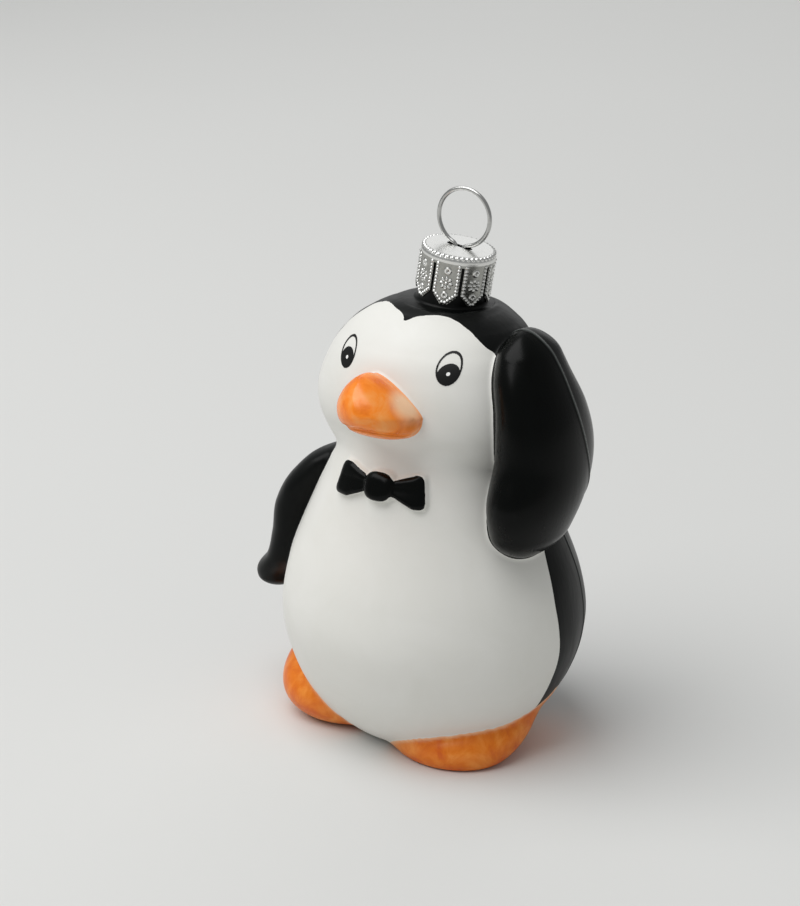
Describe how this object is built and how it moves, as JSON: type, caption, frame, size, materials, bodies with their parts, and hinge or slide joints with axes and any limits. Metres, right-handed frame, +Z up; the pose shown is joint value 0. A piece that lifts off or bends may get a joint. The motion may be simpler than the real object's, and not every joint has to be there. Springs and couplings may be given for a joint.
{
  "type": "penguin ornament",
  "caption": "Mould-blown glass penguin with coats of lacquer, a stamped crown cap that turns on its neck and a sprung wire ring to hang it by.",
  "frame": {"origin": "on the standing face, under the middle of the body", "axes": "+Z up, the penguin faces -Y, its left side with the raised wing is +X"},
  "size_m": [0.0524, 0.041, 0.0781],
  "materials": {
    "blown_glass": "clear blown glass, mostly under lacquer",
    "white_lacquer": "satin white lacquer",
    "black_lacquer": "glossy black lacquer",
    "orange_lacquer": "glossy orange lacquer",
    "stamped_tinplate": "bright stamped tinplate",
    "spring_wire": "drawn bright wire"
  },
  "bodies": {
    "figure": {"glass_body": "blown_glass", "white_coat": "white_lacquer", "black_coat": "black_lacquer", "raised_wing_coat": "black_lacquer", "lowered_wing_coat": "black_lacquer", "beak_coat": "orange_lacquer", "left_foot_coat": "orange_lacquer", "right_foot_coat": "orange_lacquer", "bow_tie_coat": "black_lacquer", "left_eye_paint": "black_lacquer", "right_eye_paint": "black_lacquer", "left_eye_glint": "white_lacquer", "right_eye_glint": "white_lacquer"},
    "cap": {"crown_cap": "stamped_tinplate"},
    "hanger": {"hanger_wire": "spring_wire"}
  },
  "joints": [
    {"name": "cap_swivel", "type": "hinge", "parent": "figure", "child": "cap", "pos_m": [0.00202, 0.0029, 0.06951], "axis": [0.165, 0, 0.9863], "continuous": true},
    {"name": "hanger_pull", "type": "slide", "parent": "cap", "child": "hanger", "axis": [0.165, 0, 0.9863], "range_m": [0, 0.002]}
  ]
}
